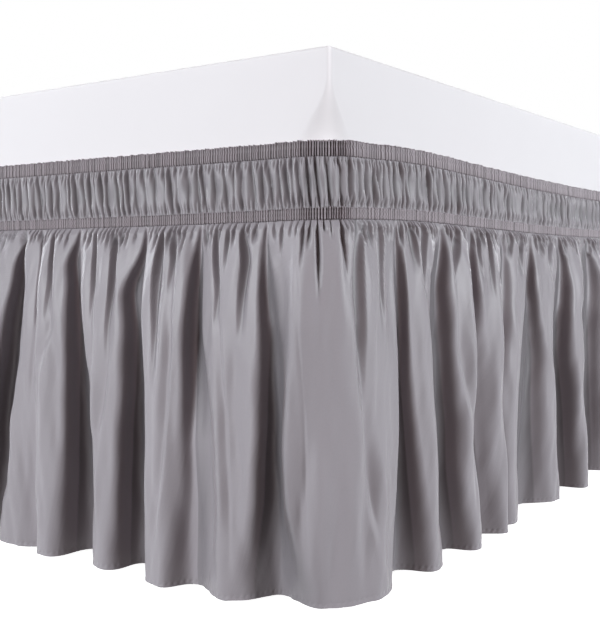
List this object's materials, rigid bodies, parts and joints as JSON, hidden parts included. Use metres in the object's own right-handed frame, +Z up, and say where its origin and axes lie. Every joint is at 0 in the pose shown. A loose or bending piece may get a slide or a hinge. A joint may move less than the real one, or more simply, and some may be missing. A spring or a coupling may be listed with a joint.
{
  "type": "bed skirt on a box spring",
  "caption": "Gathered wrap-around bed skirt with two elastic bands and a puffed heading, hanging in folds from a plain box spring on legs.",
  "frame": {"origin": "on the floor, under the middle of the bed", "axes": "+Z up, +Y along the bed towards its head end, +X across it towards its right side; the foot end faces -Y"},
  "size_m": [1.0545, 1.9694, 0.49],
  "materials": {
    "skirt_cloth": "silky grey brushed microfibre with a soft sheen",
    "elastic": "finely ribbed gathered elastic in the same grey cloth",
    "bed_cover": "plain white woven cover",
    "leg": "plain dark grey"
  },
  "bodies": {
    "root": {"skirt_drop": "skirt_cloth", "heading_ruffle": "skirt_cloth", "upper_elastic_band": "elastic", "lower_elastic_band": "elastic", "box_spring": "bed_cover", "leg_foot_right": "leg", "leg_foot_left": "leg", "leg_head_right": "leg", "leg_head_left": "leg"}
  },
  "joints": []
}
